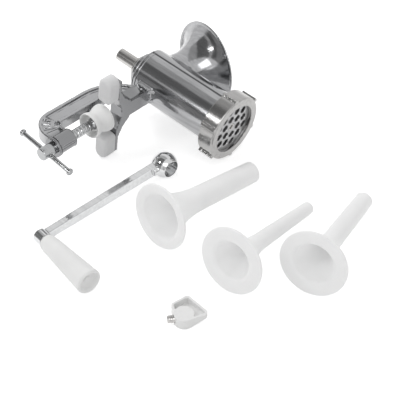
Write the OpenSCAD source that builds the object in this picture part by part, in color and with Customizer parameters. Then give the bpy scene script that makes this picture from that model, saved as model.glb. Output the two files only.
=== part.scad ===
// Hand crank meat grinder set: the grinder lies on its side on a flat surface,
// with its crank, thumb screw and three stuffing tubes laid out beside it.
// The grinder itself is drawn in its own working frame: +X runs along the barrel
// towards the plate, +Z points up out of the hopper and X = 0 is the front face
// of the ring nut. One placement then lays it down on three points.

/* [Barrel] */
// Outer radius of the barrel
barrel_r = 25; // [24:0.5:29]
// Length from the front of the ring nut to the rear end of the barrel
barrel_l = 113.5; // [95:0.5:140]
// Wall thickness of the barrel
barrel_wall = 3.2; // [2:0.1:4.5]
// Thickness of the rear wall
rear_wall = 5; // [3:0.5:8]
// Chamfer on the rear edge of the barrel
rear_chamfer = 2; // [0.5:0.5:4]
// Radius of the bearing boss behind the barrel
rear_boss_r = 18; // [12:0.5:20]
// Length of the bearing boss
rear_boss_l = 7; // [5:0.5:16]
// Height of the casting seam along each side of the barrel
seam_step = 1.2; // [0.4:0.1:2]

/* [Ring nut and plate] */
// Outer radius of the ring nut between its grip lugs
ring_r = 33.6; // [33.2:0.1:38]
// Axial width of the ring nut
ring_w = 17; // [14:0.5:24]
// Radius of the opening in the ring nut
mouth_r = 25.2; // [20:0.2:27]
// Thickness of the front lip of the ring nut
ring_lip = 4; // [2.5:0.5:6]
// Number of grip lugs
lug_n = 6; // [3:1:9]
// Radius over the grip lugs
lug_r = 36; // [35:0.2:42]
// Width of a grip lug
lug_w = 3.6; // [2:0.2:8]
// Angle of the first grip lug, from the side that faces down
lug_turn = 4.5; // [0:0.5:12]
// Radius of the threaded head of the barrel
head_r = 30.6; // [30:0.1:31.5]
// Thickness of the grinding plate
plate_t = 5; // [3:0.5:6]
// Diameter of a hole in the grinding plate
plate_hole_d = 7.6; // [4:0.2:8.4]
// Distance between neighbouring holes in the plate
plate_pitch = 10; // [9:0.1:10.4]
// Rings of holes around the centre of the plate
plate_rings = 2; // [1:1:2]
// Diameter of the key pin that stops the plate turning
key_pin_d = 3; // [2:0.5:3.5]

/* [Feed screw] */
// Radius over the flight of the feed screw
screw_r = 20.8; // [16:0.2:21.2]
// Radius of the core at the front
core_front_r = 14; // [10:0.5:16]
// Radius of the core at the rear
core_rear_r = 10; // [8:0.5:14]
// Turns of the flight
screw_turns = 3; // [2:0.5:4]
// Thickness of the flight
flight_t = 5; // [3:0.5:8]
// Radius of the drive shaft's tail
shaft_r = 8; // [6:0.25:9]
// Height of the shoulder that the crank hub stops against
shaft_step = 1; // [0.5:0.25:1.5]
// Length of the shaft tail that stands out behind the boss
tail_l = 26; // [18:1:40]
// Distance across the two flats of the tail
tail_flats = 12.4; // [9:0.2:13]
// Distance of the drill point for the thumb screw from the end of the tail
tail_hole_in = 8; // [5:0.5:12]
// Wall of the bearing bush
bush_wall = 2; // [1.5:0.25:3]
// Radius of the knife stud
stud_r = 4; // [3:0.25:5]
// Width across the square of the knife
knife_square = 9; // [8.4:0.2:11]
// Length of each knife blade from the axis
blade_reach = 20; // [16:0.5:21]
// Thickness of the knife
knife_t = 4; // [3:0.5:6]

/* [Hopper] */
// Radius of the hopper over its rim
rim_r = 44; // [38:0.5:50]
// Distance of the rim centre above the barrel axis
rim_z = 56; // [50:0.5:75]
// Distance of the rim centre behind the front of the ring nut
rim_x = 85; // [78:0.5:95]
// Lean of the hopper towards the plate
hopper_lean = 13; // [0:0.5:20]
// Outer radius of the hopper neck
neck_r = 20; // [16:0.5:22]
// Wall thickness of the hopper
hopper_wall = 2.6; // [2:0.1:4]

/* [Clamp frame] */
// Distance of the clamp screw axis behind the front of the ring nut
clamp_x = 94; // [80:0.5:98]
// Distance of the spine's outer face behind the clamp screw axis
spine_out = 35; // [30:0.5:45]
// Width of the spine
spine_w = 18; // [12:0.5:22]
// Thickness of the frame across
frame_t = 12; // [10:0.5:20]
// Depth of the pocket on each face of the frame
pocket_d = 2.5; // [2:0.5:6]
// Width of the rim around the pockets
frame_rim = 3.2; // [2:0.2:5]
// Distance of the bottom of the frame below the barrel axis
frame_low = 144; // [130:1:170]
// Radius of the threaded boss for the clamp screw
boss_r = 8.8; // [8:0.5:13]
// Length of the threaded boss
boss_l = 22; // [15:1:30]
// Width of a leg along the barrel
leg_w = 15; // [10:0.5:20]
// Thickness across of the stem that the two legs spread from
stem_t = 18; // [14:0.5:22]
// Distance from the middle of the grinder to the outer end of the lower jaw foot
foot_reach = 50; // [40:0.5:65]
// The same distance for the upper jaw foot
foot_reach_upper = 45; // [40:0.5:65]
// Distance of the jaw feet below the barrel axis
jaw_z = 84; // [75:0.5:100]

/* [Feet] */
// Width of a jaw foot along the barrel
foot_w = 15.5; // [14:0.5:24]
// Length of a jaw foot across the grinder
foot_l = 27; // [22:0.5:34]
// Height of a jaw foot
foot_h = 13.5; // [11:0.5:20]
// Radius of the swivel foot at its pressing face
swivel_r = 13.6; // [11:0.5:20]
// Length of the swivel foot
swivel_l = 21; // [16:0.5:28]

/* [Clamp screw] */
// Radius of the clamp screw
clamp_screw_r = 5; // [4:0.25:6]
// Radius of the ball at its tip
ball_r = 5.6; // [5:0.1:7]
// Radius of the head with the cross hole
head_knob_r = 6; // [5.5:0.1:9]
// Length of that head
head_knob_l = 12.5; // [10:0.5:20]
// Radius of the tommy bar
bar_r = 2.2; // [1.5:0.1:3]
// Length of the tommy bar over its ends
bar_l = 66; // [45:1:90]
// Radius of the knob on each end of the tommy bar
bar_knob_r = 3.4; // [2.6:0.1:5]
// Pitch of the clamp screw thread
clamp_pitch = 2; // [1:0.25:3]

/* [Crank] */
// Distance between the hub and the grip
crank_l = 144; // [110:1:180]
// Radius of the ball hub
hub_r = 12.6; // [11:0.1:16]
// Width of the arm at the hub
arm_w_hub = 11; // [9:0.5:14]
// Width of the arm at the grip
arm_w_grip = 8; // [7:0.5:12]
// Thickness of the arm
arm_t = 7; // [5:0.5:9]
// Offset of the arm's mid plane away from the grip
arm_offset = 2.4; // [0:0.2:4]
// Radius of the arm's round end
arm_end_r = 6.8; // [5:0.2:10]
// Length of the grip
grip_l = 64.5; // [62:0.5:100]
// Radius of the grip at the arm
grip_r_near = 7.6; // [5.5:0.1:9]
// Radius of the grip at its far end
grip_r_far = 11.8; // [9:0.1:12.4]
// Lean of the grip away from square to the arm
grip_lean = 4; // [0:0.5:6]
// Radius of the grip pin
pin_r = 3; // [2:0.25:4]

/* [Thumb screw] */
// Radius of the thumb screw's stud
thumb_stud_r = 3.4; // [2.6:0.1:4.4]
// Length of the stud beyond its boss
thumb_stud_l = 5.5; // [5:0.5:12]
// Radius of the boss that holds the stud
thumb_boss_r = 8.5; // [7:0.5:11]
// Length of the finger plate beyond the boss
thumb_wing = 19; // [15:0.5:26]
// Thickness of the head
thumb_t = 10.4; // [10:0.2:14]
// Wall around the dish of the finger plate
thumb_rim = 2.2; // [1.6:0.1:3]

/* [Stuffing tubes] */
// Thickness of the flange
flange_t = 2.6; // [2:0.2:4]
// Wall thickness of a tube
tube_wall = 1.6; // [1.2:0.1:2.4]
// Length of a tube from the flange to the tip
tube_l = 121; // [90:1:150]
// Length of the flared part behind the flange
flare_l = 47; // [35:1:60]
// Radius of the rounding at the mouth of a tube
mouth_round = 4; // [1:0.2:4.4]

/* [Layout] */
// Place of the ring nut's centre along X
grinder_at_x = -15.4; // [-40:0.1:40]
// Place of the ring nut's centre along Y
grinder_at_y = 67.4; // [40:0.1:100]
// Shift of the whole set along X
set_x = -4.1; // [-60:0.1:60]
// Shift of the whole set along Y
set_y = 13.5; // [-60:0.1:60]

/* [Hidden] */
$fn = 96;

// clearances
thread_gap = 0.3;      // between a threaded piece and its thread
running_gap = 0.08;    // radial gap of a turning fit
slide_gap = 0.3;       // between pieces that pass each other
cut = 1;               // how far a cutter runs past the face it cuts

// barrel and ring nut, behind the front of the ring nut
plate_front = ring_lip + 0.05;
plate_back = plate_front + plate_t;
head_front = plate_back + 0.05;
bore_r = barrel_r - barrel_wall;
bore_end = barrel_l - rear_wall;
boss_end = barrel_l + rear_boss_l;
journal_r = shaft_r + shaft_step;
shaft_fit_r = journal_r + running_gap;
bush_r = shaft_fit_r + bush_wall;
bush_flange = 4.5;
plate_r = head_r - 0.6;
flange_r = head_r;

// feed screw, knife and shaft
knife_back = head_front + knife_t;
screw_front = knife_back + slide_gap;
washer_t = 1.2;
washer_gap = 0.2;
screw_back = bore_end - washer_t - 2 * washer_gap;
screw_l = screw_back - screw_front;
stud_root = 12;
stud_front = plate_front;
tail_start = boss_end + bush_flange + 0.4;
tail_end = tail_start + tail_l;
shaft_front = screw_back - 14;

// hopper, along its own leaning axis
lean_s = sin(hopper_lean);
lean_c = cos(hopper_lean);
flare_h = 34;
flare_r = ((rim_r - neck_r) * (rim_r - neck_r) + flare_h * flare_h) / (2 * (rim_r - neck_r));
rim_lip = 1.8;

// clamp frame
jaw_face = -jaw_z;
spine_back = -clamp_x - spine_out;
spine_front = spine_back + spine_w;
frame_corner = 22;
boss_low = -frame_low - 2;
boss_collar = 2.4;
arm_low_h = 20;
leg_back = -clamp_x - leg_w / 2;
leg_front = -clamp_x + leg_w / 2;
tenon_w = foot_w - 6;
tenon_l = foot_l - 12;
tenon_h = foot_h - 4;

// clamp screw and swivel foot
swivel_face = jaw_face + 4;
ball_z = swivel_face - swivel_l + ball_r + 1.5;
knob_top = -frame_low - 4;
bar_z = knob_top - head_knob_l / 2;
bar_turn = 5.5;

// stuffing tubes: [x, y, direction, throat radius, flare end radius, tip radius]
tube_large = [10.6, -65.7, 86.5, 23, 11.4, 10.2];
tube_medium = [145, -23.9, 102.5, 20, 9, 8.3];
tube_small = [91.6, -66, 93, 19, 7.6, 6];

// small details of the casting
seam_z = 2;
saddle_w = 17;
saddle_z = 24;
saddle_round = 6;
saddle_l = 34;
neck_l = rim_z / lean_c - 6;
top_curve = 54;
top_turn_z = -76;
frame_top_in = 16;
jaw_root_z = -52;
inner_fillet = 6;
rib_t = 3;
gusset_y = 6;
gusset_l = 6;
leg_half = stem_t / 2;
leg_top = jaw_face + foot_h + 3.5;
key_pin_at = 26.5;
key_depth = 5;
key_in_plate = 3;
ring_edge = 1.2;
lug_top = sqrt(lug_r * lug_r - lug_w * lug_w / 4);
flight_turn = 360 * flight_t / (screw_l / screw_turns);
tail_turn = 40;
blade_w = 7;
plate_turn = 12;

// small details of the loose pieces
ball_neck_r = 3.6;
socket_r = 5.2;
swivel_cup_r = 13;
bar_tip = 4;
arm_boss = 9;
boss_back = arm_t / 2 + arm_offset + 0.4;
hub_gap = 0.15;
grip_dish = 3;
pin_reach = 60;
thumb_floor = 4;
thumb_root = 3;
// corners of the finger plate: [along the stud, across it, radius, height of the underside]
thumb_corners = [
    [-5, 2.8 - thumb_wing, 3.2, 0], [6, 8.4 - thumb_wing, 3.2, 0], [-15.5, 0.8, 3.8, 5.4]
];

// crank and thumb screw places: [x, y, direction of the arm or the stud]
crank_at = [-49, 5, -94.6];
thumb_at = [88.6, -121, 230];

// ---- helpers ----

module along_x(from, to, r) {
    translate([from, 0, 0]) rotate([0, 90, 0]) cylinder(h = to - from, r = r);
}

// a part of revolution about X, from an outline in [distance behind the front, radius]
module turned_x() {
    rotate([0, -90, 0]) rotate_extrude() rotate([0, 0, 90]) mirror([0, 1, 0]) children();
}

module round_slab(w, l, h, r) {
    for (sx = [-1, 1]) for (sy = [-1, 1])
        translate([sx * (w / 2 - r), sy * (l / 2 - r), 0]) cylinder(h = h, r = r);
    translate([-w / 2 + r, -l / 2, 0]) cube([w - 2 * r, l, h]);
    translate([-w / 2, -l / 2 + r, 0]) cube([w, l - 2 * r, h]);
}

// ---- how the grinder lies: on a ring nut lug, the hopper rim and a jaw foot ----

function unit(v) = v / norm(v);
hopper_axis = [lean_s, 0, lean_c];
rim_centre = [-rim_x, 0, rim_z];
function flat_part(v, axis) = unit(v - (v * axis) * axis);
function ring_touch(up) = [0, 0, 0] - lug_r * flat_part(up, [1, 0, 0]);
function rim_touch(up) = rim_centre - rim_r * flat_part(up, hopper_axis);
function foot_touch(up) =
    [-clamp_x, foot_reach - foot_w / 2, jaw_face + foot_h]
    - foot_w / 2 * flat_part(up, [0, 0, 1]);
function level(up) =
    unit(cross(rim_touch(up) - ring_touch(up), foot_touch(up) - ring_touch(up)));
function settle(up, steps) = steps == 0 ? up : settle(level(up), steps - 1);
lie_up = settle([0, -1, 0], 8);
lie_x = flat_part([1, 0, 0], lie_up);
lie_y = cross(lie_up, lie_x);
lie_h = -ring_touch(lie_up) * lie_up;

module laid_down() {
    translate([set_x + grinder_at_x, set_y + grinder_at_y, 0])
        multmatrix([
            [lie_x.x, lie_x.y, lie_x.z, 0],
            [lie_y.x, lie_y.y, lie_y.z, 0],
            [lie_up.x, lie_up.y, lie_up.z, lie_h],
            [0, 0, 0, 1]
        ]) children();
}

// ---- body casting ----

module barrel_solid() {
    rotate([0, -90, 0]) rotate_extrude() polygon([
        [0, head_front], [head_r, head_front], [head_r, ring_w - 0.5],
        [barrel_r, ring_w - 0.5], [barrel_r, barrel_l - rear_chamfer],
        [barrel_r - rear_chamfer, barrel_l], [rear_boss_r, barrel_l],
        [rear_boss_r, boss_end - 1], [rear_boss_r - 1, boss_end], [0, boss_end]
    ]);
    // upper half of the casting, a seam's height proud of the lower half
    intersection() {
        along_x(-barrel_l + rear_chamfer, -ring_w - 1, barrel_r + seam_step);
        translate([-barrel_l, -barrel_r - cut, seam_z])
            cube([barrel_l, 2 * barrel_r + 2 * cut, barrel_r + cut]);
    }
}

// square-shouldered saddle between the hopper neck and the rear of the barrel
module saddle() {
    translate([-barrel_l + rear_chamfer, 0, 0]) rotate([90, 0, 90])
        linear_extrude(saddle_l) {
            translate([-saddle_w + saddle_round, 0]) square([2 * (saddle_w - saddle_round), saddle_z]);
            translate([-saddle_w, 0]) square([2 * saddle_w, saddle_z - saddle_round]);
            for (side = [-1, 1])
                translate([side * (saddle_w - saddle_round), saddle_z - saddle_round])
                    circle(saddle_round);
        }
}

// place of the rim centre, with Z along the hopper's own axis
module at_rim() {
    translate(rim_centre) rotate([0, hopper_lean, 0]) children();
}

// outline of a trumpet flare, grown outward by a margin
module flare_outline(inset, over) {
    difference() {
        translate([0, -neck_l]) square([rim_r + over, neck_l + over]);
        translate([neck_r + flare_r, -flare_h]) circle(flare_r + inset);
        translate([neck_r - inset, -neck_l - cut])
            square([rim_r, neck_l - flare_h + cut]);
    }
}

module hopper_solid() {
    at_rim() rotate_extrude() {
        flare_outline(0, 0);
        translate([rim_r - rim_lip / 2, -rim_lip / 2]) circle(rim_lip / 2);
    }
}

module hopper_hollow() {
    at_rim() rotate_extrude() intersection() {
        flare_outline(hopper_wall, cut);
        translate([0, -neck_l]) square([rim_r - rim_lip / 2, neck_l + cut]);
    }
}

// frame seen from its side, with every edge drawn in by a margin
module frame_plan(inset) {
    // top curve from the barrel into the spine
    intersection() {
        translate([spine_back + top_curve, top_turn_z]) circle(top_curve - inset);
        translate([spine_back, jaw_root_z + inset])
            square([leg_front - inset - spine_back, -jaw_root_z - inset - frame_top_in]);
    }
    intersection() {
        translate([spine_back + top_curve, top_turn_z]) circle(top_curve - inset);
        translate([spine_back, top_turn_z])
            square([spine_w - inset, -top_turn_z - frame_top_in]);
    }
    // spine
    translate([spine_back + inset, -frame_low + frame_corner])
        square([spine_w - 2 * inset, frame_low - frame_corner + top_turn_z]);
    // bottom corner and lower arm
    intersection() {
        translate([spine_back + frame_corner, -frame_low + frame_corner])
            circle(frame_corner - inset);
        translate([spine_back, -frame_low]) square(frame_corner);
    }
    translate([spine_back + frame_corner, -frame_low + inset])
        square([-clamp_x - spine_back - frame_corner, arm_low_h - 2 * inset]);
    // inner fillets
    for (v = [[-frame_low + arm_low_h, 1], [jaw_root_z, -1]])
        translate([spine_front - inset, v[0] - inset * v[1]]) scale([1, v[1]]) difference() {
            square(inner_fillet);
            translate([inner_fillet, inner_fillet]) circle(inner_fillet);
        }
}

module clamp_frame() {
    difference() {
        translate([0, frame_t / 2, 0]) rotate([90, 0, 0]) linear_extrude(frame_t) frame_plan(0);
        for (side = [-1, 1])
            translate([0, side * (frame_t / 2 + cut) + (side > 0 ? 0 : pocket_d + cut), 0])
                rotate([90, 0, 0]) linear_extrude(pocket_d + cut) frame_plan(frame_rim);
    }
    // ribs that fan out in the lower corner of each pocket
    intersection() {
        translate([0, frame_t / 2 - 1, 0]) rotate([90, 0, 0]) linear_extrude(frame_t - 2) frame_plan(1);
        for (turn = [200, 222, 244])
            translate([spine_front + 2, 0, -frame_low + arm_low_h + 2]) rotate([0, -turn, 0])
                translate([6, -frame_t / 2, -rib_t / 2]) cube([frame_corner + 14, frame_t, rib_t]);
    }
    // threaded boss
    translate([-clamp_x, 0, boss_low]) cylinder(h = boss_l, r = boss_r);
    translate([-clamp_x, 0, boss_low]) cylinder(h = boss_collar, r = boss_r + 1);
}

function reach(side) = side > 0 ? foot_reach : foot_reach_upper;

// outline of one leg, from the stem out to its jaw foot, in [distance across, height]
function leg_line(side) = [
    [0, -barrel_r + 4], [leg_half, -barrel_r + 4], [leg_half, -48], [leg_half + 3, -55],
    [leg_half + 9, -61.5], [leg_half + 19, leg_top], [reach(side) - 5, leg_top],
    [reach(side) - 5, jaw_face + foot_h], [leg_half + 18, jaw_face + foot_h],
    [leg_half + 9, -69.5], [leg_half, -66], [5, -64.5], [0, -64.5]
];

// two legs that spread from under the barrel to the jaw feet
module legs() {
    translate([leg_back, 0, 0]) rotate([90, 0, 90]) linear_extrude(leg_w)
        for (side = [-1, 1]) scale([side, 1]) polygon(leg_line(side));
    for (side = [-1, 1])
        translate([-clamp_x, side * (reach(side) - foot_l / 2), jaw_face + foot_h - tenon_h])
            round_slab(tenon_w, tenon_l, tenon_h, 3);
    // gussets against the barrel
    for (side = [-1, 1])
        translate([leg_front - 1, side * gusset_y + rib_t / 2, 0]) rotate([90, 0, 0])
            linear_extrude(rib_t)
                polygon([[0, -barrel_r + 3], [gusset_l, -barrel_r + 3], [0, -barrel_r - gusset_l]]);
}

module body_casting() {
    color([0.76, 0.77, 0.78]) laid_down() difference() {
        union() {
            barrel_solid();
            saddle();
            hopper_solid();
            clamp_frame();
            legs();
        }
        along_x(-bore_end, -head_front + cut, bore_r);
        along_x(-boss_end - cut, -bore_end + cut, bush_r);
        hopper_hollow();
        translate([-clamp_x, 0, boss_low - cut])
            cylinder(h = boss_l + 2 * cut, r = clamp_screw_r + thread_gap);
        translate([-head_front - key_depth, 0, -key_pin_at]) rotate([0, 90, 0])
            cylinder(h = key_depth + cut, d = key_pin_d);
    }
}

// ---- feed screw, shaft and knife ----

module rear_bearing_bush() {
    color([0.93, 0.93, 0.9]) laid_down() difference() {
        union() {
            along_x(-boss_end, -bore_end, bush_r);
            along_x(-boss_end - bush_flange, -boss_end, bush_r + 1.4);
        }
        along_x(-boss_end - bush_flange - cut, -bore_end + cut, shaft_fit_r);
    }
}

module thrust_washer() {
    color([0.85, 0.85, 0.8]) laid_down() difference() {
        along_x(-screw_back - washer_gap - washer_t, -screw_back - washer_gap, journal_r + 4);
        along_x(-bore_end - cut, 0, shaft_fit_r);
    }
}

module feed_screw() {
    color([0.78, 0.79, 0.8]) laid_down() difference() {
        union() {
            rotate([0, -90, 0]) translate([0, 0, screw_front])
                cylinder(h = screw_l, r1 = core_front_r, r2 = core_rear_r);
            rotate([0, -90, 0]) translate([0, 0, screw_front])
                linear_extrude(screw_l, twist = 360 * screw_turns, slices = 24 * screw_turns, $fn = 16)
                    polygon([
                        [0, 0],
                        for (i = [0:6]) screw_r * [cos(flight_turn * i / 6), sin(flight_turn * i / 6)]
                    ]);
        }
        along_x(-screw_front - stud_root, -screw_front + cut, stud_r);
        along_x(-screw_back - cut, -shaft_front, journal_r);
    }
}

module drive_shaft() {
    color([0.62, 0.63, 0.65]) laid_down() difference() {
        rotate([0, -90, 0]) rotate_extrude() polygon([
            [0, shaft_front], [journal_r, shaft_front], [journal_r, tail_start],
            [shaft_r, tail_start], [shaft_r, tail_end - 1.2], [shaft_r - 1.2, tail_end],
            [0, tail_end]
        ]);
        // two flats on the tail
        rotate([tail_turn, 0, 0]) for (side = [0, 180]) rotate([side, 0, 0])
            translate([-tail_end - cut, -shaft_r - cut, tail_flats / 2])
                cube([tail_l - 4 + cut, 2 * shaft_r + 2 * cut, shaft_r]);
        // drill point for the thumb screw in the middle of one flat
        rotate([tail_turn, 0, 0]) translate([-tail_end + tail_hole_in, 0, tail_flats / 2 - 1.5])
            cylinder(h = cut + 1.5, r = thumb_stud_r + 0.4);
    }
}

module knife_stud() {
    color([0.7, 0.71, 0.73]) laid_down() {
        along_x(-screw_front - stud_root, -knife_back, stud_r);
        translate([-knife_back, -knife_square / 2, -knife_square / 2])
            cube([knife_t, knife_square, knife_square]);
        along_x(-head_front, -stud_front, stud_r);
    }
}

module cutting_knife() {
    color([0.72, 0.73, 0.75]) laid_down() difference() {
        union() {
            along_x(-knife_back, -head_front - 0.05, knife_square * 0.95);
            for (turn = [0:90:270]) rotate([turn, 0, 0])
                translate([-knife_back, -blade_w / 2, 0])
                    cube([knife_t - 0.05, blade_w, blade_reach]);
        }
        translate([-knife_back - cut, -knife_square / 2, -knife_square / 2])
            cube([knife_t + 2 * cut, knife_square, knife_square]);
    }
}

// ---- plate and ring nut ----

module grinding_plate() {
    color([0.6, 0.61, 0.62]) laid_down() difference() {
        along_x(-plate_back, -plate_front, plate_r);
        along_x(-plate_back - cut, -plate_front + cut, stud_r + running_gap);
        rotate([plate_turn, 0, 0])
            for (i = [-plate_rings:plate_rings]) for (j = [-plate_rings:plate_rings])
                if (abs(i + j) <= plate_rings && !(i == 0 && j == 0))
                    translate([0, plate_pitch * (i + j / 2), plate_pitch * j * sin(60)])
                        along_x(-plate_back - cut, -plate_front + cut, plate_hole_d / 2);
        translate([-plate_back - cut, 0, -key_pin_at]) rotate([0, 90, 0])
            cylinder(h = key_in_plate + cut, d = key_pin_d + 2 * running_gap);
    }
}

module plate_key_pin() {
    color([0.65, 0.66, 0.68]) laid_down()
        translate([-head_front - key_depth, 0, -key_pin_at]) rotate([0, 90, 0])
            cylinder(h = key_depth + key_in_plate - 0.2, d = key_pin_d);
}

module ring_nut() {
    color([0.8, 0.81, 0.82]) laid_down() difference() {
        union() {
            rotate([0, -90, 0]) rotate_extrude() polygon([
                [0, 0], [ring_r - ring_edge, 0], [ring_r, ring_edge], [ring_r, ring_w], [0, ring_w]
            ]);
            for (k = [0:lug_n - 1])
                rotate([lug_turn + k * 360 / lug_n, 0, 0])
                    translate([-ring_w, mouth_r + cut, -lug_w / 2])
                        cube([ring_w - ring_edge / 2, lug_top - mouth_r - cut, lug_w]);
        }
        along_x(-ring_w - cut, cut, mouth_r);
        along_x(-ring_w - cut, -ring_lip, head_r + thread_gap);
    }
}

// ---- clamp screw, tommy bar and feet ----

module clamp_screw() {
    color([0.66, 0.67, 0.69]) laid_down() translate([-clamp_x, 0, 0]) difference() {
        union() {
            translate([0, 0, ball_z]) sphere(ball_r);
            translate([0, 0, ball_z - 5]) cylinder(h = 5, r = ball_neck_r);
            translate([0, 0, knob_top]) cylinder(h = ball_z - 5 - knob_top, r = clamp_screw_r);
            translate([0, 0, knob_top - head_knob_l]) rotate_extrude() polygon([
                [0, 0], [head_knob_r - 1, 0], [head_knob_r, 1], [head_knob_r, head_knob_l - 1],
                [head_knob_r - 1, head_knob_l], [0, head_knob_l]
            ]);
            translate([0, 0, knob_top]) cylinder(h = 2, r = clamp_screw_r + 0.6);
        }
        rotate([0, 0, bar_turn]) translate([-head_knob_r - cut, 0, bar_z]) rotate([0, 90, 0])
            cylinder(h = 2 * head_knob_r + 2 * cut, r = bar_r + running_gap);
    }
}

module at_bar() {
    laid_down() translate([-clamp_x, 0, bar_z]) rotate([0, 0, bar_turn]) children();
}

module tommy_bar() {
    color([0.7, 0.71, 0.73]) at_bar()
        along_x(-bar_l / 2 + bar_tip, bar_l / 2 - bar_tip, bar_r);
}

module tommy_bar_ends() {
    color([0.7, 0.71, 0.73]) at_bar() for (side = [0, 180]) rotate([0, 0, side])
        translate([bar_l / 2 - bar_tip, 0, 0]) rotate([0, 90, 0]) rotate_extrude() {
            square([bar_knob_r, bar_tip - 1]);
            square([bar_knob_r - 1, bar_tip]);
            translate([bar_knob_r - 1, bar_tip - 1]) circle(1);
        }
}

module swivel_foot() {
    color([0.95, 0.95, 0.95]) laid_down() translate([-clamp_x, 0, swivel_face - swivel_l]) difference() {
        rotate_extrude() difference() {
            polygon([
                [0, 0], [swivel_cup_r, 0], [swivel_cup_r, 3], [swivel_r, swivel_l - 5],
                [swivel_r, swivel_l - 1], [swivel_r - 1, swivel_l], [0, swivel_l]
            ]);
            // hollow behind the rim around the ball socket
            translate([socket_r + 2.4, -cut]) square([swivel_cup_r - socket_r - 4.2, cut + 4]);
        }
        translate([0, 0, ball_z - swivel_face + swivel_l]) sphere(ball_r + running_gap);
        translate([0, 0, -cut]) cylinder(h = ball_z - swivel_face + swivel_l + cut, r = socket_r);
    }
}

module jaw_foot(side) {
    color([0.95, 0.95, 0.95]) laid_down() difference() {
        translate([-clamp_x, 0, jaw_face]) {
            translate([0, side * (reach(side) - foot_w / 2), 0]) cylinder(h = foot_h, r = foot_w / 2);
            translate([-foot_w / 2, side > 0 ? reach(side) - foot_l : -reach(side) + foot_w / 2, 0])
                cube([foot_w, foot_l - foot_w / 2, foot_h]);
        }
        translate([-clamp_x, side * (reach(side) - foot_l / 2), jaw_face + foot_h - tenon_h])
            round_slab(tenon_w, tenon_l, tenon_h + cut, 3);
    }
}

module jaw_foot_upper() { jaw_foot(-1); }
module jaw_foot_lower() { jaw_foot(1); }

// ---- crank ----

// crank frame: origin at the hub, X along the arm, Y along the grip
module at_crank() {
    translate([set_x + crank_at[0], set_y + crank_at[1], hub_r]) rotate([0, 0, crank_at[2]]) children();
}

module crank_arm() {
    color([0.72, 0.73, 0.75]) at_crank() difference() {
        union() {
            rotate([90, 0, 0]) rotate([0, 0, 90]) sphere(hub_r);
            translate([0, arm_t / 2 - arm_offset, 0]) rotate([90, 0, 0]) linear_extrude(arm_t) polygon([
                [0, -arm_w_hub / 2], [crank_l, -arm_w_grip / 2],
                [crank_l, arm_w_grip / 2], [0, arm_w_hub / 2]
            ]);
            rotate([0, 90, 0])
                cylinder(h = hub_r + 3, r1 = arm_w_hub / 2 + 3, r2 = arm_w_hub / 2 - 1);
            translate([crank_l, 0, 0]) rotate([90, 0, -grip_lean])
                translate([0, 0, -arm_boss / 2]) cylinder(h = arm_boss / 2 + boss_back, r = arm_end_r);
        }
        translate([0, hub_r + cut, 0]) rotate([90, 0, 0])
            cylinder(h = 2 * hub_r + 2 * cut, r = shaft_r + hub_gap);
        translate([-hub_r - cut, 0, 0]) rotate([0, 90, 0])
            cylinder(h = hub_r + cut, r = thumb_stud_r + thread_gap);
        translate([crank_l, 0, 0]) rotate([90, 0, -grip_lean]) translate([0, 0, -arm_boss / 2 - cut])
            cylinder(h = arm_boss / 2 + boss_back + 2 * cut, r = pin_r);
    }
}

module at_grip() {
    at_crank() translate([crank_l, 0, 0]) rotate([-90, 0, -grip_lean])
        translate([0, 0, arm_boss / 2]) children();
}

module crank_grip() {
    color([0.95, 0.95, 0.95]) at_grip() translate([0, 0, slide_gap]) difference() {
        rotate_extrude() difference() {
            polygon([
                [0, 0], [grip_r_near - 1, 0], [grip_r_near, 1.5],
                [grip_r_far, grip_l - 1.5], [grip_r_far - 1.5, grip_l], [0, grip_l]
            ]);
            translate([0, grip_l - grip_dish]) square([grip_r_far - 2.6, grip_dish + cut]);
        }
        translate([0, 0, -cut]) cylinder(h = pin_reach + 1 + cut, r = pin_r + running_gap);
    }
}

module grip_pin() {
    color([0.7, 0.71, 0.73]) at_grip() {
        translate([0, 0, -arm_boss / 2 - boss_back])
            cylinder(h = arm_boss / 2 + boss_back + pin_reach, r = pin_r);
        translate([0, 0, -arm_boss / 2 - boss_back - 1.6]) cylinder(h = 1.6, r = pin_r + 2);
    }
}

// ---- thumb screw ----

// thumb screw frame: origin under the boss on the surface, X along the stud
module at_thumb() {
    translate([set_x + thumb_at[0], set_y + thumb_at[1], 0]) rotate([0, 0, thumb_at[2]]) children();
}

module thumb_screw_head() {
    color([0.95, 0.95, 0.95]) at_thumb() difference() {
        hull() {
            cylinder(h = thumb_t, r = thumb_boss_r, $fn = 48);
            for (c = thumb_corners)
                translate([c[0], c[1], c[3]]) cylinder(h = thumb_t - c[3], r = c[2], $fn = 32);
        }
        // dish for the finger, from the rim down to the floor of the plate
        difference() {
            hull() for (c = concat(thumb_corners, [[0, 0, thumb_boss_r, 0]]))
                translate([c[0], c[1], max(thumb_floor, c[3] + thumb_rim)])
                    cylinder(h = thumb_t, r = c[2] - thumb_rim, $fn = 32);
            cylinder(h = thumb_t, r = thumb_boss_r);
        }
        translate([thumb_root, 0, thumb_t / 2]) rotate([0, 90, 0])
            cylinder(h = thumb_boss_r + cut, r = thumb_stud_r);
    }
}

module thumb_screw_stud() {
    color([0.66, 0.67, 0.69]) at_thumb() translate([0, 0, thumb_t / 2])
        along_x(thumb_root, thumb_boss_r + thumb_stud_l, thumb_stud_r);
}

// ---- stuffing tubes ----

function flare_bend(drop) = (drop * drop + (flare_l - flange_t) * (flare_l - flange_t)) / (2 * drop);

// trumpet outline, grown inward by a margin, in [radius, distance from the flange]
module tube_outline(r_throat, r_end, r_tip, inset, over) {
    bend = flare_bend(r_throat - r_end);
    difference() {
        translate([0, -over]) square([r_throat, flare_l + over]);
        translate([r_end + bend, flare_l]) circle(bend + inset);
    }
    polygon([
        [0, flare_l], [r_end - inset, flare_l], [r_tip - inset, tube_l + over], [0, tube_l + over]
    ]);
}

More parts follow.
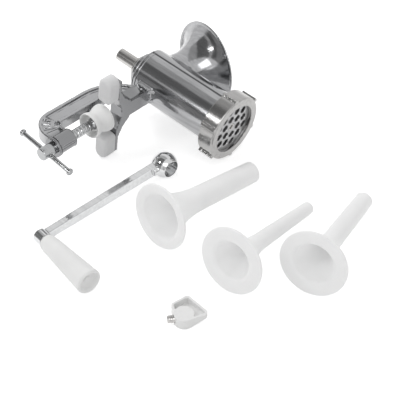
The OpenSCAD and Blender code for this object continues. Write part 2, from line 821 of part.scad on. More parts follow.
// rounding between the flange and the bowl behind it
module tube_mouth(r_throat, r_end) {
    bend = flare_bend(r_throat - r_end);
    reach = flare_l - mouth_round;
    edge = r_end + bend - sqrt((bend + tube_wall) * (bend + tube_wall) - reach * reach) + mouth_round;
    difference() {
        translate([0, -cut]) square([edge, mouth_round + cut]);
        translate([edge, mouth_round]) circle(mouth_round);
    }
}

module stuffing_tube(at) {
    tip_r = at[5];
    tilt = atan((flange_r - tip_r) / (tube_l - flange_t));
    color([0.93, 0.93, 0.93])
        translate([set_x + at[0], set_y + at[1], flange_r * cos(tilt) + flange_t * sin(tilt)])
            rotate([0, 90 + tilt, at[2]]) rotate_extrude() difference() {
                union() {
                    square([flange_r - 0.8, flange_t]);
                    translate([0, 0.8]) square([flange_r, flange_t - 1.6]);
                    for (y = [0.8, flange_t - 0.8]) translate([flange_r - 0.8, y]) circle(0.8);
                    tube_outline(at[3], at[4], tip_r, 0, 0);
                }
                tube_outline(at[3], at[4], tip_r, tube_wall, cut);
                tube_mouth(at[3], at[4]);
            }
}

module stuffing_tube_large() { stuffing_tube(tube_large); }
module stuffing_tube_medium() { stuffing_tube(tube_medium); }
module stuffing_tube_small() { stuffing_tube(tube_small); }

body_casting();
rear_bearing_bush();
feed_screw();
drive_shaft();
thrust_washer();
knife_stud();
cutting_knife();
grinding_plate();
plate_key_pin();
ring_nut();
clamp_screw();
tommy_bar();
tommy_bar_ends();
swivel_foot();
jaw_foot_upper();
jaw_foot_lower();
crank_arm();
crank_grip();
grip_pin();
thumb_screw_head();
thumb_screw_stud();
stuffing_tube_large();
stuffing_tube_medium();
stuffing_tube_small();
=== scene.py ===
import math

import bmesh
import bpy
import numpy as np
from mathutils import Matrix, Vector


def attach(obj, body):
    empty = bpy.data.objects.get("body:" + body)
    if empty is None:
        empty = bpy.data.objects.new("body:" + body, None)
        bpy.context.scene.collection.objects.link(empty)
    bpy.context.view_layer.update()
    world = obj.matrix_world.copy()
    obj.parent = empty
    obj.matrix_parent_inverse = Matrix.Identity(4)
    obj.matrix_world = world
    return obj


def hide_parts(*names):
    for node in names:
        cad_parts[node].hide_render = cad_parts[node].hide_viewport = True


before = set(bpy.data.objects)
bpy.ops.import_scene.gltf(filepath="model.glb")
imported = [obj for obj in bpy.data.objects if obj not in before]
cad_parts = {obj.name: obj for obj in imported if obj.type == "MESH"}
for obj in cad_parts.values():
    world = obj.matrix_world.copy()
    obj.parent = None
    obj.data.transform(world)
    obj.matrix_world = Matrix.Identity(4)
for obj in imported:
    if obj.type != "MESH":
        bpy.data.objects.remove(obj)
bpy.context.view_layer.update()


mm = 0.001
scene = bpy.context.scene
print("frame loaded")

# view and light
viewSettings = {
    "from": (0.4609, -0.5177, 0.6357),
    "at": (-0.0041, 0.0135, 0.0),
    "lens": 91.98,
    "sensor": 36.0,
}
lightSettings = {
    "skyForSurfaces": 0.74,      # level of the plain surround on matt surfaces
    "lamps": [
        # place, size across, size along, power, aims at, shows in polished metal
        ((-0.75, 0.10, 0.85), 0.34, 0.26, 2.0, (0.0, 0.0, 0.0), False),
        ((-0.345, -0.70, 0.74), 0.060, 0.20, 1.0, (-0.02, 0.06, 0.05), True),
    ],
}
# long panels over the table that only polished metal shows: they lie along X, and each spans
# a stretch of the turn about X, from 0 at the back over 90 overhead to 180 at the front
panelSettings = {
    # from, to, level
    "overheadDim": (66, 93, 0.58),
    "overheadDark": (93, 132, 0.20),
    "frontStripe": (132, 139, 0.60),
    "frontDark": (139, 153, 0.13),
    "frontDim": (153, 178, 0.36),
}
panelReach = {"away": 1.3, "left": -1.9, "right": 0.22}
# a broad bright panel beside the camera
cameraPanel = {
    "at": (0.76, -0.62, 0.84), "aim": (0, 0, 0.03), "halfWide": 0.42, "halfTall": 0.32, "level": 3.4,
}
floorSettings = {
    "halfSize": 4.0, "below": 0.0002, "colour": (0.86, 0.86, 0.86), "roughness": 0.9,
    "glow": 0.54,                # how much of the floor's white doesn't take shadow
}


def aimed(place, target):
    turn = (Vector(target) - Vector(place)).to_track_quat("-Z", "Y")
    return Matrix.Translation(Vector(place)) @ turn.to_matrix().to_4x4()


cameraData = bpy.data.cameras.new("camera")
cameraData.lens = viewSettings["lens"]
cameraData.sensor_width = viewSettings["sensor"]
cameraData.clip_end = 20
camera = bpy.data.objects.new("camera", cameraData)
scene.collection.objects.link(camera)
camera.matrix_world = aimed(viewSettings["from"], viewSettings["at"])
scene.camera = camera
scene.view_settings.view_transform = "Standard"

for index, (place, across, along, power, target, shows) in enumerate(lightSettings["lamps"]):
    lampData = bpy.data.lights.new(f"softLamp{index}", "AREA")
    lampData.shape = "RECTANGLE"
    lampData.size = across
    lampData.size_y = along
    lampData.energy = power
    lamp = bpy.data.objects.new(f"softLamp{index}", lampData)
    scene.collection.objects.link(lamp)
    lamp.matrix_world = aimed(place, target)
    lamp.visible_glossy = shows


# a socket that takes part in ordinary arithmetic
class Wire:
    def __init__(self, shader, socket):
        self.shader = shader
        self.socket = socket

    def mathNode(self, operation, *values):
        return self.shader.node("ShaderNodeMath", {"operation": operation}, dict(enumerate(values)))

    def __add__(self, other):
        return self.mathNode("ADD", self, other)

    def __rsub__(self, other):
        return self.mathNode("SUBTRACT", other, self)

    def __mul__(self, other):
        return self.mathNode("MULTIPLY", self, other)

    __radd__ = __add__
    __rmul__ = __mul__


class Shader:
    def __init__(self, name):
        self.material = bpy.data.materials.new(name)
        self.material.use_nodes = True
        self.tree = self.material.node_tree
        self.surface = self.tree.nodes["Principled BSDF"]
        self.place = self.tree.nodes.new("ShaderNodeTexCoord").outputs["Object"]

    def node(self, kind, settings=None, values=None, out=0):
        made = self.tree.nodes.new(kind)
        for key, value in (settings or {}).items():
            if key == "stops":
                ramp = made.color_ramp
                while len(ramp.elements) < len(value):
                    ramp.elements.new(0.5)
                for element, (position, grey) in zip(ramp.elements, value):
                    element.position = position
                    element.color = (grey, grey, grey, 1)
            else:
                setattr(made, key, value)
        for key, value in (values or {}).items():
            self.put(made.inputs[key], value)
        return Wire(self, made.outputs[out])

    def put(self, socket, value):
        if isinstance(value, Wire):
            self.tree.links.new(value.socket, socket)
        elif isinstance(value, bpy.types.NodeSocket):
            self.tree.links.new(value, socket)
        else:
            socket.default_value = value

    def noise(self, scale, detail, rough, stretch=None):
        place = self.place
        if stretch:
            place = self.node("ShaderNodeMapping", {}, {"Vector": place, "Scale": stretch})
        return self.node("ShaderNodeTexNoise", {}, {
            "Vector": place, "Scale": scale, "Detail": detail, "Roughness": rough})

    def ramp(self, wire, stops):
        return self.node("ShaderNodeValToRGB", {"stops": stops}, {"Fac": wire})

    def mixColour(self, factor, low, high):
        made = self.node("ShaderNodeMix", {"data_type": "RGBA"}, {}, 2)
        node = made.socket.node
        self.put(node.inputs[0], factor)
        for socket, value in ((node.inputs[6], low), (node.inputs[7], high)):
            self.put(socket, value if isinstance(value, Wire) else (*value, 1))
        return made

    def bump(self, height, strength, distance, over=None):
        values = {"Height": height, "Strength": strength, "Distance": distance}
        if over is not None:
            values["Normal"] = over
        return self.node("ShaderNodeBump", {}, values)

    def set(self, **values):
        for key, value in values.items():
            socket = self.surface.inputs[key.replace("_", " ")]
            if isinstance(value, tuple) and socket.type == "RGBA":
                value = (*value, 1)
            self.put(socket, value)
        return self.material


metalSettings = {
    # name: colour, darker colour, roughness low and high, peel height in mm, scratch strength
    "castMetal": ((0.43, 0.432, 0.44), (0.30, 0.302, 0.31), 0.10, 0.22, 0.03, 0.14),
    "ringMetal": ((0.43, 0.425, 0.42), (0.34, 0.335, 0.33), 0.14, 0.30, 0.02, 0.08),
    "brightChrome": ((0.66, 0.665, 0.67), (0.52, 0.525, 0.53), 0.06, 0.14, 0.01, 0.05),
    "clampSteel": ((0.44, 0.445, 0.45), (0.34, 0.345, 0.35), 0.08, 0.18, 0.01, 0.05),
    "turnedSteel": ((0.56, 0.55, 0.54), (0.44, 0.43, 0.42), 0.18, 0.30, 0.012, 0.06),
    "plateSteel": ((0.47, 0.47, 0.475), (0.36, 0.36, 0.365), 0.26, 0.40, 0.015, 0.12),
    "feedMetal": ((0.45, 0.45, 0.46), (0.35, 0.35, 0.36), 0.28, 0.42, 0.04, 0.10),
}
plasticSettings = {
    # name: colour, shade, roughness low and high, grain height in mm, scattering, its depth in m,
    # and a faint painted glow that stands in for light coming through the thin wall and lifts the shaded
    # bowls
    "whitePlastic": ((0.86, 0.86, 0.855), (0.81, 0.81, 0.805), 0.34, 0.48, 0.02, 0.20, 0.002, 0.0),
    "footPlastic": ((0.75, 0.75, 0.755), (0.70, 0.70, 0.705), 0.34, 0.48, 0.02, 0.20, 0.002, 0.0),
    "tubePlastic": ((0.81, 0.81, 0.81), (0.78, 0.78, 0.78), 0.42, 0.56, 0.02, 0.55, 0.005, 0.10),
}
# noise patterns: scale, detail, roughness, and for one a stretch along each axis
metalGrain = {"cloud": (22, 3, 0.55), "fine": (420, 2, 0.5), "wipe": (55, 4, 0.62, (0.35, 7.0, 5.0))}
plasticGrain = {"cloud": (40, 3, 0.5), "fine": (900, 2, 0.5)}
# soft edges of zones on the casting: the barrel past Y 42 to 56 mm, and the legs, darkened with painted
# shade, past X -126 to -120 mm
castZones = {
    "scale": 10, "legShift": 2, "barrel": [(0.42, 0.0), (0.56, 1.0)], "legs": [(0.74, 0.0), (0.80, 1.0)],
    # painted shade: darker colours laid on the legs
    "legShadeBright": (0.27, 0.272, 0.278), "legShadeDull": (0.20, 0.202, 0.208),
}
finishes = {}

for name, (bright, dull, roughLow, roughHigh, peel, scratch) in metalSettings.items():
    s = Shader(name)
    cloud, fine, wipe = (s.noise(*metalGrain[key]) for key in ("cloud", "fine", "wipe"))
    smudge = s.ramp(cloud, [(0.35, 0.0), (0.68, 1.0)])
    streak = s.ramp(wipe, [(0.38, 0.0), (0.62, 1.0)])
    if name == "castMetal":      # streaks on the barrel only, and painted shade that darkens the legs
        z = castZones
        across = s.node("ShaderNodeSeparateXYZ", {}, {0: s.place}, 0)
        along = s.node("ShaderNodeSeparateXYZ", {}, {0: s.place}, 1)
        onBarrel = s.ramp(along * z["scale"], z["barrel"])
        streak = streak * onBarrel
        wipe = wipe * onBarrel
        # painted shade: the legs' colour is mixed towards darker greys
        legShade = s.ramp(across * z["scale"] + z["legShift"], z["legs"]) * (1 - onBarrel)
        bright = s.mixColour(legShade, bright, z["legShadeBright"])
        dull = s.mixColour(legShade, dull, z["legShadeDull"])
    base = s.mixColour(smudge * 0.35 + streak * 0.5, bright, dull)
    rough = roughLow + (roughHigh - roughLow) * (smudge * 0.6 + streak * 0.4)
    relief = s.bump(cloud, 0.5, peel * 6 * mm)
    relief = s.bump(fine, 0.25, peel * mm, relief)
    relief = s.bump(wipe, scratch, 0.05 * mm, relief)
    finishes[name] = s.set(Base_Color=base, Roughness=rough, Metallic=1.0, Normal=relief)

for name, (pale, shade, roughLow, roughHigh, grain, soft, depth, glow) in plasticSettings.items():
    s = Shader(name)
    cloud, fine = (s.noise(*plasticGrain[key]) for key in ("cloud", "fine"))
    base = s.mixColour(s.ramp(cloud, [(0.3, 0.0), (0.75, 1.0)]), pale, shade)
    rough = roughLow + (roughHigh - roughLow) * cloud
    relief = s.bump(fine, 0.3, grain * mm)
    relief = s.bump(cloud, 0.25, grain * 4 * mm, relief)
    # Emission_Strength is the painted glow, which lightens the shaded insides of the tubes
    finishes[name] = s.set(
        Base_Color=base, Roughness=rough, Normal=relief, Subsurface_Weight=soft,
        Subsurface_Radius=(1.0, 1.0, 1.0), Subsurface_Scale=depth, IOR=1.49,
        Emission_Color=(1, 1, 1), Emission_Strength=glow)
print("finishes made")


def flatMesh(name, halfWide, halfTall, place):
    mesh = bpy.data.meshes.new(name)
    bm = bmesh.new()
    bmesh.ops.create_grid(bm, x_segments=2, y_segments=2, size=1.0)
    bmesh.ops.scale(bm, vec=(halfWide, halfTall, 1), verts=bm.verts)
    bmesh.ops.transform(bm, matrix=place, verts=bm.verts)
    bm.to_mesh(mesh)
    bm.free()
    made = bpy.data.objects.new(name, mesh)
    scene.collection.objects.link(made)
    return made


# 1 on rays that go straight to the surround: from the camera, off metal and through glass
def seenRays(tree):
    rays = tree.nodes.new("ShaderNodeLightPath")
    highest = rays.outputs["Is Camera Ray"]
    for other in ("Is Glossy Ray", "Is Transmission Ray"):
        either = tree.nodes.new("ShaderNodeMath")
        either.operation = "MAXIMUM"
        tree.links.new(highest, either.inputs[0])
        tree.links.new(rays.outputs[other], either.inputs[1])
        highest = either.outputs[0]
    return highest


def setStage():
    world = bpy.data.worlds.new("surround")
    scene.world = world
    world.use_nodes = True
    tree = world.node_tree
    level = tree.nodes.new("ShaderNodeMapRange")
    level.inputs["To Min"].default_value = lightSettings["skyForSurfaces"]
    level.inputs["To Max"].default_value = 1.0
    tree.links.new(seenRays(tree), level.inputs["Value"])
    tree.nodes["Background"].inputs["Color"].default_value = (1, 1, 1, 1)
    tree.links.new(level.outputs[0], tree.nodes["Background"].inputs["Strength"])

    fs = floorSettings
    floor = flatMesh("floor", fs["halfSize"], fs["halfSize"], Matrix.Translation((0, 0, -fs["below"])))
    s = Shader("paleFloor")
    s.set(Base_Color=fs["colour"], Roughness=fs["roughness"], Specular_IOR_Level=0.0)
    glow = s.node("ShaderNodeEmission", {}, {
        "Color": (1, 1, 1, 1), "Strength": Wire(s, seenRays(s.tree)) * fs["glow"]})
    both = s.node("ShaderNodeAddShader", {}, {0: s.surface.outputs[0], 1: glow})
    s.put(s.tree.nodes["Material Output"].inputs["Surface"], both)
    floor.data.materials.append(s.material)

    def hang(name, halfWide, halfTall, place, level):
        panel = flatMesh(name, halfWide, halfTall, place)
        s = Shader(name + "Level")
        glow = s.node("ShaderNodeEmission", {}, {"Color": (1, 1, 1, 1), "Strength": level})
        s.put(s.tree.nodes["Material Output"].inputs["Surface"], glow)
        panel.data.materials.append(s.material)
        panel.visible_camera = False
        panel.visible_diffuse = False
        panel.visible_shadow = False
        panel.visible_transmission = False

    away, left, right = (panelReach[key] for key in ("away", "left", "right"))
    for name, (low, high, level) in panelSettings.items():
        middle = math.radians((low + high) / 2)
        halfTall = away * math.tan(math.radians((high - low) / 2))
        centre = ((left + right) / 2, away * math.cos(middle), away * math.sin(middle))
        place = Matrix.Translation(centre) @ Matrix.Rotation(middle - math.pi / 2, 4, "X")
        hang(name, (right - left) / 2, halfTall, place, level)
    p = cameraPanel
    hang("cameraPanel", p["halfWide"], p["halfTall"], aimed(p["at"], p["aim"]), p["level"])


setStage()
print("stage set")


# a visible piece that rides on a body, in the place of the nodes it stands for
def newPiece(name, mesh, body, finish, stands=()):
    mesh.materials.clear()
    mesh.materials.append(finishes[finish])
    mesh.polygons.foreach_set("use_smooth", [True] * len(mesh.polygons))
    mesh.set_sharp_from_angle(angle=math.radians(45))
    piece = bpy.data.objects.new(name, mesh)
    scene.collection.objects.link(piece)
    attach(piece, body)
    if stands:
        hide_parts(*stands)
    print("made", name, sum(len(p.vertices) - 2 for p in mesh.polygons))


# a copy of a node's solid with the corners of its faces joined
def mergedCopy(node):
    mesh = bpy.data.meshes.new(node + "Copy")
    bm = bmesh.new()
    bm.from_mesh(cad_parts[node].data)
    bmesh.ops.remove_doubles(bm, verts=bm.verts, dist=1e-6)
    bm.to_mesh(mesh)
    bm.free()
    return mesh


def modified(mesh, *steps):
    holder = bpy.data.objects.new("holder", mesh)
    scene.collection.objects.link(holder)
    for kind, settings in steps:
        modifier = holder.modifiers.new(kind, kind)
        for key, value in settings.items():
            setattr(modifier, key, value)
    shown = holder.evaluated_get(bpy.context.evaluated_depsgraph_get())
    made = bpy.data.meshes.new_from_object(shown)
    bpy.data.objects.remove(holder)
    return made


# evens out a mesh without shrinking it
def relax(mesh, rounds, push=0.5, pull=0.52):
    count = len(mesh.vertices)
    co = np.zeros(count * 3)
    mesh.vertices.foreach_get("co", co)
    co = co.reshape(-1, 3)
    ends = np.zeros(len(mesh.edges) * 2, np.int64)
    mesh.edges.foreach_get("vertices", ends)
    a, b = ends[0::2], ends[1::2]
    degree = np.maximum(np.bincount(ends, minlength=count), 1)[:, None]
    for _ in range(rounds):
        for step in (push, -pull):
            total = np.stack([
                np.bincount(a, co[b, k], count) + np.bincount(b, co[a, k], count) for k in range(3)], 1)
            co = co + step * (total / degree - co)
    mesh.vertices.foreach_set("co", co.reshape(-1))
    mesh.update()


def turnedBy(degrees, axis):
    return Matrix.Rotation(math.radians(degrees), 4, axis)


# places in mm: the grinder's own frame has X along the barrel out of the ring nut and Z out of
# the hopper
inMetres = Matrix.Scale(mm, 4)
grinderPlace = inMetres @ Matrix((
    (0.992719, -0.120368, -0.00447121, -19.5), (0, -0.0371206, 0.999311, 80.9),
    (-0.120451, -0.992035, -0.0368504, 35.7379), (0, 0, 0, 1)))
screwPlace = grinderPlace @ Matrix.Translation((-94, 0, 0))
barPlace = screwPlace @ Matrix.Translation((0, 0, -154.25)) @ turnedBy(5.5, "Z")
crankPlace = inMetres @ Matrix.Translation((-53.1, 18.5, 12.6)) @ turnedBy(-94.6, "Z")
gripPlace = (crankPlace @ Matrix.Translation((144, 0, 0)) @ turnedBy(-4, "Z") @ turnedBy(-90, "X")
             @ Matrix.Translation((0, 0, 4.8)))
thumbPlace = inMetres @ Matrix.Translation((84.5, -107.5, 5.2)) @ turnedBy(230, "Z")


# a line of corners (radius, height, rounding), with each corner between its ends rounded off
def roundedLine(corners, steps=5):
    line = []
    for index, (radius, height, *rounding) in enumerate(corners):
        here = Vector((radius, height))
        if not rounding:
            line.append(here)
            continue
        before = Vector(corners[index - 1][:2]) - here
        after = Vector(corners[index + 1][:2]) - here
        reach = min(rounding[0], before.length * 0.49, after.length * 0.49)
        start, end = here + before.normalized() * reach, here + after.normalized() * reach
        for step in range(steps + 1):
            t = step / steps
            line.append(start * (1 - t) ** 2 + here * (2 * t * (1 - t)) + end * t * t)
    return line


# turned about Z from a line of (radius, height)
def lathed(line, place, around=96, closed=False):
    bm = bmesh.new()
    rings = []
    for radius, height in map(Vector, line):
        if radius < 1e-4:
            rings.append([bm.verts.new((0, 0, height))] * around)
        else:
            rings.append([
                bm.verts.new((radius * math.cos(a), radius * math.sin(a), height))
                for a in (2 * math.pi * k / around for k in range(around))])
    pairs = list(zip(rings, rings[1:] + rings[:1])) if closed else list(zip(rings, rings[1:]))
    for low, high in pairs:
        for k in range(around):
            corners = [low[k], low[(k + 1) % around], high[(k + 1) % around], high[k]]
            corners = [v for n, v in enumerate(corners) if v not in corners[:n]]
            if len(corners) > 2:
                bm.faces.new(corners)
    bmesh.ops.recalc_face_normals(bm, faces=bm.faces)
    bmesh.ops.transform(bm, matrix=place, verts=bm.verts)
    mesh = bpy.data.meshes.new("turned")
    bm.to_mesh(mesh)
    bm.free()
    return mesh


# a mesh with the shapes of others cut out of it
def without(mesh, *others):
    for other in others:
        tool = bpy.data.objects.new("tool", other)
        scene.collection.objects.link(tool)
        mesh = modified(mesh, ("BOOLEAN", {"operation": "DIFFERENCE", "object": tool}))
        bpy.data.objects.remove(tool)
    return mesh


# a slab with a flat outline, given anticlockwise, and its lower and upper edges rounded
def slab(outline, low, high, roundings, place, steps=8):
    points = [Vector(p) for p in outline]
    inward = []
    for k, here in enumerate(points):
        along = (here - points[k - 1]).normalized() + (points[(k + 1) % len(points)] - here).normalized()
        inward.append(Vector((-along.y, along.x)).normalized())
    levels = []
    for start, way, rounding in ((low, 1, roundings[0]), (high, -1, roundings[1])):
        turns = np.linspace(0, math.pi / 2, steps + 1) if rounding else [math.pi / 2]
        levels += [(rounding * (1 - math.sin(a)), start + way * rounding * (1 - math.cos(a)))
                   for a in turns[::way]]
    bm = bmesh.new()
    rings = [[bm.verts.new((*(p + n * inset), height)) for p, n in zip(points, inward)]
             for inset, height in levels]
    bm.faces.new(rings[0][::-1])
    bm.faces.new(rings[-1])
    for lower, upper in zip(rings, rings[1:]):
        for k in range(len(points)):
            n = (k + 1) % len(points)
            bm.faces.new((lower[k], lower[n], upper[n], upper[k]))
    bmesh.ops.recalc_face_normals(bm, faces=bm.faces)
    bmesh.ops.transform(bm, matrix=place, verts=bm.verts)
    mesh = bpy.data.meshes.new("slab")
    bm.to_mesh(mesh)
    bm.free()
    return mesh


# small hollows cut before a copy of a CAD solid is softened
hollowSettings = {
    # the channel down the face of the stem: radius, distance of its middle from the frame's mid plane
    "stem": {"radius": 8.2, "out": 13.2, "from": -53.0, "to": -29.5},
    # the round recess in the end of the knife stud, from its floor to past the stud's face
    "stud": {"radius": 2.4, "from": -6.6, "to": 1},
}
stem, recess = hollowSettings["stem"], hollowSettings["stud"]


# a plain cylinder about Z
def rod(size, place, around):
    radius, low, high = size["radius"], size["from"], size["to"]
    line = [Vector((0, low)), Vector((radius, low)), Vector((radius, high)), Vector((0, high))]
    return lathed(line, place, around)


hollows = {
    "body_casting": [
        rod(stem, screwPlace @ Matrix.Translation((0, side * stem["out"], 0)), 64) for side in (-1, 1)],
    "knife_stud": [rod(recess, grinderPlace @ turnedBy(90, "Y"), 64)],
}


# remade from the CAD solid with its edges softened
def softened(node, voxel, rounds, keep=1.0):
    mesh = modified(without(mergedCopy(node), *hollows.get(node, [])), ("REMESH", {
        "mode": "VOXEL", "voxel_size": voxel * mm, "use_smooth_shade": True}))
    relax(mesh, rounds)
    if keep < 1:
        mesh = modified(mesh, ("DECIMATE", {"ratio": keep}))
    return mesh


# node: body, finish, slot, then voxel in mm, rounds of relaxing, share of the faces kept
softenedSettings = {
    "body_casting": ("grinder_body", "castMetal", "cast_metal", 0.55, 40, 0.30),
    "ring_nut": ("ring", "ringMetal", "cast_metal", 0.5, 8, 0.8),
    "grinding_plate": ("plate", "plateSteel", "plate_steel", 0.5, 3, 1),
    "rear_bearing_bush": ("grinder_body", "turnedSteel", "screw_steel", 0.4, 3, 1),
    "drive_shaft": ("feed", "turnedSteel", "screw_steel", 0.45, 3, 1),
    "feed_screw": ("feed", "feedMetal", "feed_metal", 0.7, 4, 1),
    "knife_stud": ("feed", "turnedSteel", "screw_steel", 0.4, 3, 1),
    "cutting_knife": ("feed", "turnedSteel", "screw_steel", 0.4, 3, 1),
    "crank_arm": ("crank", "brightChrome", "polished_steel", 0.36, 40, 1),
    "grip_pin": ("crank", "brightChrome", "polished_steel", 0.35, 3, 1),
    "thumb_screw_head": ("thumb_screw", "whitePlastic", "white_plastic", 0.35, 8, 1),
}
for node, (body, finish, slotName, *sizes) in softenedSettings.items():
    newPiece(node + "_form", softened(node, *sizes), body, finish, [node])


# stuffing tubes: flange, flare and pipe in one thin wall
tubeSettings = {
    "flange": 30.6, "flangeThick": 2.6, "wall": 1.6, "length": 121, "flare": 47, "mouth": 4,
    "edge": 0.8,
    # name: place, direction, throat radius, radius at the end of the flare, radius at the tip
    "tubes": {
        "large": ((6.5, -52.2), 86.5, 23, 11.4, 10.2),
        "medium": ((140.9, -10.4), 102.5, 20, 9, 8.3),
        "small": ((87.5, -52.5), 93, 19, 7.6, 6),
    },
}


# heights run from 0 at the flange's face to the tip; the flare is an arc that ends in a pipe, which
# tapers slightly
def tubeLine(throat, end, tip):
    t = tubeSettings
    wall, flare, mouth, length = t["wall"], t["flare"], t["mouth"], t["length"]
    rim, thick, edge = t["flange"], t["flangeThick"], t["edge"]
    drop = throat - end
    bend = (drop * drop + (flare - thick) ** 2) / (2 * drop)
    quarter = np.linspace(0, math.pi / 2, 6)

    def outside(h):
        return end + bend - math.sqrt(bend * bend - (flare - h) ** 2)

    def inside(h):
        return end + bend - math.sqrt((bend + wall) ** 2 - (flare - h) ** 2)

    # round the tip, and down the inside to the mouth
    line = [(tip - 0.3, length), (tip - 0.8, length),
            (tip - wall + 0.2, length - 0.2), (tip - wall, length - 0.8)]
    line += [(tip - wall + (end - tip) * k / 6, length - (length - flare) * k / 6) for k in range(1, 6)]
    line += [(inside(h), h) for h in np.linspace(flare, mouth, 26)]
    middle = inside(mouth) + mouth
    line += [(middle - mouth * math.cos(a), mouth - mouth * math.sin(a))
             for a in np.linspace(0.2, math.pi / 2, 8)]
    # round the flange's rim
    line += [(rim - edge + edge * math.sin(a), edge - edge * math.cos(a)) for a in quarter]
    line += [(rim - edge + edge * math.cos(a), thick - edge + edge * math.sin(a)) for a in quarter]
    # up the outside, from a small fillet behind the flange
    line += [(outside(thick) + 2.4, thick), (outside(thick + 0.5) + 1.0, thick + 0.4)]
    line += [(outside(h), h) for h in np.linspace(thick + 1.8, flare, 26)]
    line += [(end + (tip - end) * k / 6, flare + (length - 1 - flare) * k / 6) for k in range(1, 7)]
    line += [(tip, length - 0.4)]
    return line


for name, (spot, direction, *radii) in tubeSettings["tubes"].items():
    rim, thick, length = (tubeSettings[key] for key in ("flange", "flangeThick", "length"))
    tilt = math.atan((rim - radii[2]) / (length - thick))
    place = (inMetres @ Matrix.Translation((*spot, rim * math.cos(tilt) + thick * math.sin(tilt)))
             @ turnedBy(direction, "Z") @ turnedBy(90 + math.degrees(tilt), "Y"))
    newPiece(f"stuffing_tube_{name}_form", lathed(tubeLine(*radii), place, 128, True), f"tube_{name}",
             "tubePlastic", [f"stuffing_tube_{name}"])
print("tubes made")

# clamp screw with its ball, collar and cross-drilled head; heights are from the barrel's axis
clampSettings = {
    "shank": 4.74, "crest": 5.0, "pitch": 2.0, "neck": 3.6, "ball": 5.6, "ballAt": -93.9,
    "collar": 5.6, "head": 6.0, "headTop": -148, "headLength": 12.5,
    "hole": {"radius": 2.28, "from": -12, "to": 12},
}
c = clampSettings
ballAt, headTop = c["ballAt"], c["headTop"]
headLow = headTop - c["headLength"]
line = roundedLine([
    (0, headLow), (c["head"], headLow, 1.3), (c["head"], headTop, 1.3), (c["collar"], headTop),
    (c["collar"], headTop + 2, 0.5), (c["shank"], headTop + 2.2), (c["shank"], ballAt - 5.6, 0.6),
    (c["neck"], ballAt - 5), (c["neck"], ballAt - 4.3)])
line += [(c["ball"] * math.sin(a), ballAt - c["ball"] * math.cos(a))
         for a in np.linspace(0.70, math.pi, 20)]
line[-1] = (0, ballAt + c["ball"])
hole = rod(c["hole"], barPlace @ turnedBy(90, "Y"), 48)
newPiece("clamp_screw_form", without(lathed(line, screwPlace), hole), "screw", "clampSteel",
         ["clamp_screw"])

# tommy bar with an upset knob on each end; the bar reaches a little way into the knobs
barSettings = {"radius": 2.2, "length": 66, "knob": 3.4, "knobLength": 4, "overlap": 0.1}
b = barSettings
half = b["length"] / 2
knobLow = half - b["knobLength"]
barEnd = knobLow + b["overlap"]
bar = rod({"radius": b["radius"], "from": -barEnd, "to": barEnd}, barPlace @ turnedBy(90, "Y"), 48)
newPiece("tommy_bar_form", bar, "bar", "clampSteel", ["tommy_bar"])
knobs = bmesh.new()
for side in (90, -90):
    line = roundedLine([
        (0, knobLow), (b["radius"] + 0.2, knobLow, 0.2), (b["knob"], half - 3.3, 1.0),
        (b["knob"], half - 1.2, 1.2), (b["knob"] - 1.6, half, 0.8), (0, half)])
    knobs.from_mesh(lathed(line, barPlace @ turnedBy(side, "Y"), 48))
mesh = bpy.data.meshes.new("knobs")
knobs.to_mesh(mesh)
knobs.free()
newPiece("tommy_bar_ends_form", mesh, "bar", "clampSteel", ["tommy_bar_ends"])

# swivel foot: an open cup around the ball, waisted, then flared to its pressing face
swivelSettings = {
    "face": -80, "length": 21, "cup": 12.6, "waist": 10.9, "press": 13.6, "socket": 5.7, "mouth": 11.0,
}
w = swivelSettings
face = w["face"]
back = face - w["length"]
line = roundedLine([
    (0, ballAt + 5.75), (3.6, ballAt + 4.5, 1), (w["socket"], ballAt + 0.4, 1.5),
    (w["socket"], ballAt - 2.2, 0.6), (w["socket"] + 1.5, ballAt - 2.4, 0.5),
    (w["socket"] + 1.8, ballAt + 0.8, 1.0), (w["mouth"] - 1.6, ballAt + 0.6, 1.6),
    (w["mouth"], back + 1.0, 1.2), (w["mouth"] + 0.8, back, 0.7), (w["cup"], back + 0.1, 0.8),
    (w["cup"], back + 3.5, 1.5), (w["waist"], back + 7.5, 3.0), (w["waist"] + 0.6, back + 11.5, 3.0),
    (w["press"], face - 4.2, 2.0), (w["press"], face - 0.1, 1.1), (w["press"] - 3, face - 0.1),
    (0, face - 0.1)])
newPiece("swivel_foot_form", lathed(line, screwPlace), "swivel", "whitePlastic",
         ["swivel_foot"])

# jaw feet: plump D-shaped pads pushed over the tenons of the casting
jawSettings = {
    "width": 15.5, "length": 27, "height": 13.5, "face": -84, "edge": 3.4, "backEdge": 1.0,
    "corner": 4, "sideGap": 0.01, "tenon": (9.8, 15.3, 9.8),
    # name: which leg, distance from the middle of the grinder to the outer end
    "feet": {"upper": (-1, 45), "lower": (1, 50)},
}
j = jawSettings
for name, (side, reach) in j["feet"].items():
    half = j["width"] / 2 - j["sideGap"]
    outline = [(half * math.cos(a), reach - half + half * math.sin(a)) for a in np.linspace(0, math.pi, 33)]
    inner = reach - j["length"]
    r = j["corner"]
    turn = np.linspace(0, math.pi / 2, 9)
    outline += [(-half + r - r * math.cos(a), inner + r - r * math.sin(a)) for a in turn]
    outline += [(half - r + r * math.sin(a), inner + r - r * math.cos(a)) for a in turn]
    if side < 0:
        outline = [(x, -y) for x, y in outline][::-1]
    pad = slab(outline, j["face"], j["face"] + j["height"], (j["edge"], j["backEdge"]), screwPlace)
    across, along, deep = (v / 2 for v in j["tenon"])
    middle = side * (reach - j["length"] / 2)
    top = j["face"] + j["height"]
    tenon = slab([(-across, middle - along), (across, middle - along), (across, middle + along),
                  (-across, middle + along)], top - 2 * deep, top + 2, (0, 0), screwPlace)
    newPiece(f"jaw_foot_{name}_form", without(pad, tenon), "grinder_body", "footPlastic",
             [f"jaw_foot_{name}"])

